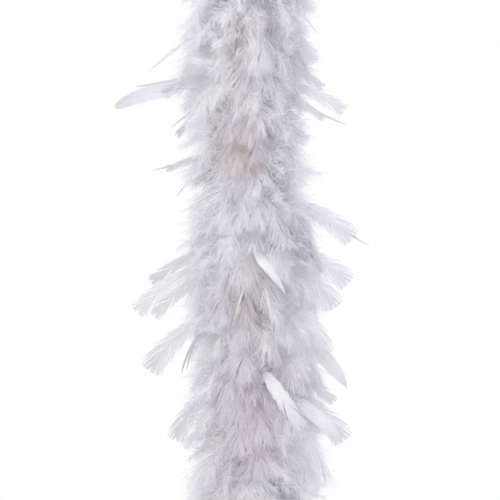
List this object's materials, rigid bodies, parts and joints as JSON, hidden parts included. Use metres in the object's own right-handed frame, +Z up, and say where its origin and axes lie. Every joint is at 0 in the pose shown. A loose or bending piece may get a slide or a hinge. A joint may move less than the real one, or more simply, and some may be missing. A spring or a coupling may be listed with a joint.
{
  "type": "feather boa",
  "caption": "White feather boa hanging straight from a cord loop: soft drooping feathers bound by thread along a flexible cord.",
  "frame": {"origin": "the point inside the top loop where a hook bears, with the boa hanging below it", "axes": "+Z up along the hanging boa, X across the loop, Y through the loop"},
  "size_m": [0.234, 0.234, 1.834],
  "materials": {
    "down_feather": "matte",
    "long_feather": "matte",
    "thread": "matte",
    "cord": "matte"
  },
  "bodies": {
    "span_01": {"top_loop": "cord", "top_whipping": "thread", "core_cord_01": "cord", "binding_thread_01": "thread", "down_feathers_01": "down_feather", "long_feathers_01": "long_feather"},
    "span_02": {"core_cord_02": "cord", "binding_thread_02": "thread", "down_feathers_02": "down_feather", "long_feathers_02": "long_feather"},
    "span_03": {"core_cord_03": "cord", "binding_thread_03": "thread", "down_feathers_03": "down_feather", "long_feathers_03": "long_feather"},
    "span_04": {"core_cord_04": "cord", "binding_thread_04": "thread", "down_feathers_04": "down_feather", "long_feathers_04": "long_feather"},
    "span_05": {"core_cord_05": "cord", "binding_thread_05": "thread", "down_feathers_05": "down_feather", "long_feathers_05": "long_feather"},
    "span_06": {"core_cord_06": "cord", "binding_thread_06": "thread", "down_feathers_06": "down_feather", "long_feathers_06": "long_feather"},
    "span_07": {"core_cord_07": "cord", "binding_thread_07": "thread", "down_feathers_07": "down_feather", "long_feathers_07": "long_feather"},
    "span_08": {"core_cord_08": "cord", "binding_thread_08": "thread", "down_feathers_08": "down_feather", "long_feathers_08": "long_feather"},
    "span_09": {"core_cord_09": "cord", "binding_thread_09": "thread", "down_feathers_09": "down_feather", "long_feathers_09": "long_feather"},
    "span_10": {"core_cord_10": "cord", "binding_thread_10": "thread", "down_feathers_10": "down_feather", "long_feathers_10": "long_feather"},
    "span_11": {"core_cord_11": "cord", "binding_thread_11": "thread", "down_feathers_11": "down_feather", "long_feathers_11": "long_feather"},
    "span_12": {"core_cord_12": "cord", "binding_thread_12": "thread", "down_feathers_12": "down_feather", "long_feathers_12": "long_feather", "bottom_whipping": "thread", "bottom_loop": "cord"}
  },
  "joints": [
    {"name": "bend_01", "type": "hinge", "parent": "span_01", "child": "span_02", "pos_m": [0, 0, -0.189], "axis": [0, 1, 0], "range_deg": [-45, 45]},
    {"name": "bend_02", "type": "hinge", "parent": "span_02", "child": "span_03", "pos_m": [0, 0, -0.334], "axis": [1, 0, 0], "range_deg": [-45, 45]},
    {"name": "bend_03", "type": "hinge", "parent": "span_03", "child": "span_04", "pos_m": [0, 0, -0.479], "axis": [0, -1, 0], "range_deg": [-45, 45]},
    {"name": "bend_04", "type": "hinge", "parent": "span_04", "child": "span_05", "pos_m": [0, 0, -0.624], "axis": [-1, 0, 0], "range_deg": [-45, 45]},
    {"name": "bend_05", "type": "hinge", "parent": "span_05", "child": "span_06", "pos_m": [0, 0, -0.769], "axis": [0, 1, 0], "range_deg": [-45, 45]},
    {"name": "bend_06", "type": "hinge", "parent": "span_06", "child": "span_07", "pos_m": [0, 0, -0.914], "axis": [1, 0, 0], "range_deg": [-45, 45]},
    {"name": "bend_07", "type": "hinge", "parent": "span_07", "child": "span_08", "pos_m": [0, 0, -1.059], "axis": [0, -1, 0], "range_deg": [-45, 45]},
    {"name": "bend_08", "type": "hinge", "parent": "span_08", "child": "span_09", "pos_m": [0, 0, -1.204], "axis": [-1, 0, 0], "range_deg": [-45, 45]},
    {"name": "bend_09", "type": "hinge", "parent": "span_09", "child": "span_10", "pos_m": [0, 0, -1.349], "axis": [0, 1, 0], "range_deg": [-45, 45]},
    {"name": "bend_10", "type": "hinge", "parent": "span_10", "child": "span_11", "pos_m": [0, 0, -1.494], "axis": [1, 0, 0], "range_deg": [-45, 45]},
    {"name": "bend_11", "type": "hinge", "parent": "span_11", "child": "span_12", "pos_m": [0, 0, -1.639], "axis": [0, -1, 0], "range_deg": [-45, 45]}
  ]
}
